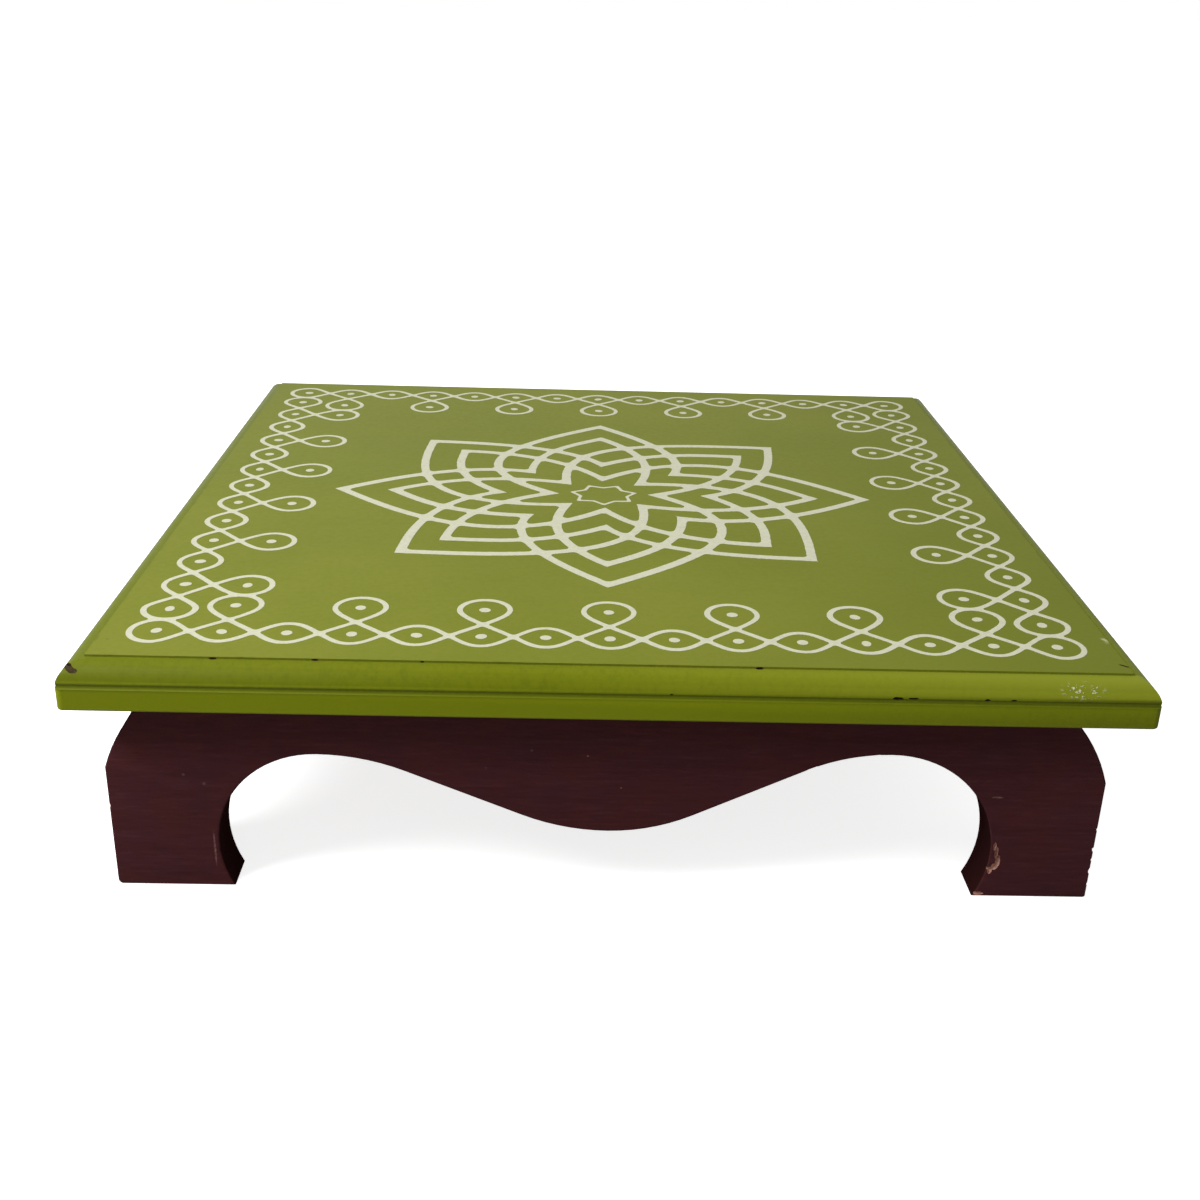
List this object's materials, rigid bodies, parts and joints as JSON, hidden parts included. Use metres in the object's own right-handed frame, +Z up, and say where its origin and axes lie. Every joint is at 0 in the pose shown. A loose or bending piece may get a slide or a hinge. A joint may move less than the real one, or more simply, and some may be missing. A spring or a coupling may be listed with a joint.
{
  "type": "low table",
  "caption": "Low square table with a moulded painted top on a base of scalloped boards with a short leg at each corner.",
  "frame": {"origin": "on the floor, under the middle of the table", "axes": "+Z up; X along the front board, Y from the front to the back; the front faces -Y"},
  "size_m": [0.381, 0.381, 0.0945],
  "materials": {
    "green_paint": "olive green enamel, satin, over wood",
    "maroon_paint": "dark maroon paint, dull satin, over wood",
    "bare_wood": "unpainted, sawn",
    "screw_steel": "zinc plated",
    "white_paint": "off-white paint lines of the kolam, printed on the top"
  },
  "bodies": {
    "root": {"top_board": "green_paint", "front_board": "maroon_paint", "back_board": "maroon_paint", "left_board": "maroon_paint", "right_board": "maroon_paint", "front_left_block": "bare_wood", "front_right_block": "bare_wood", "back_right_block": "bare_wood", "back_left_block": "bare_wood", "top_screws": "screw_steel", "joint_dowels": "bare_wood"}
  },
  "joints": []
}
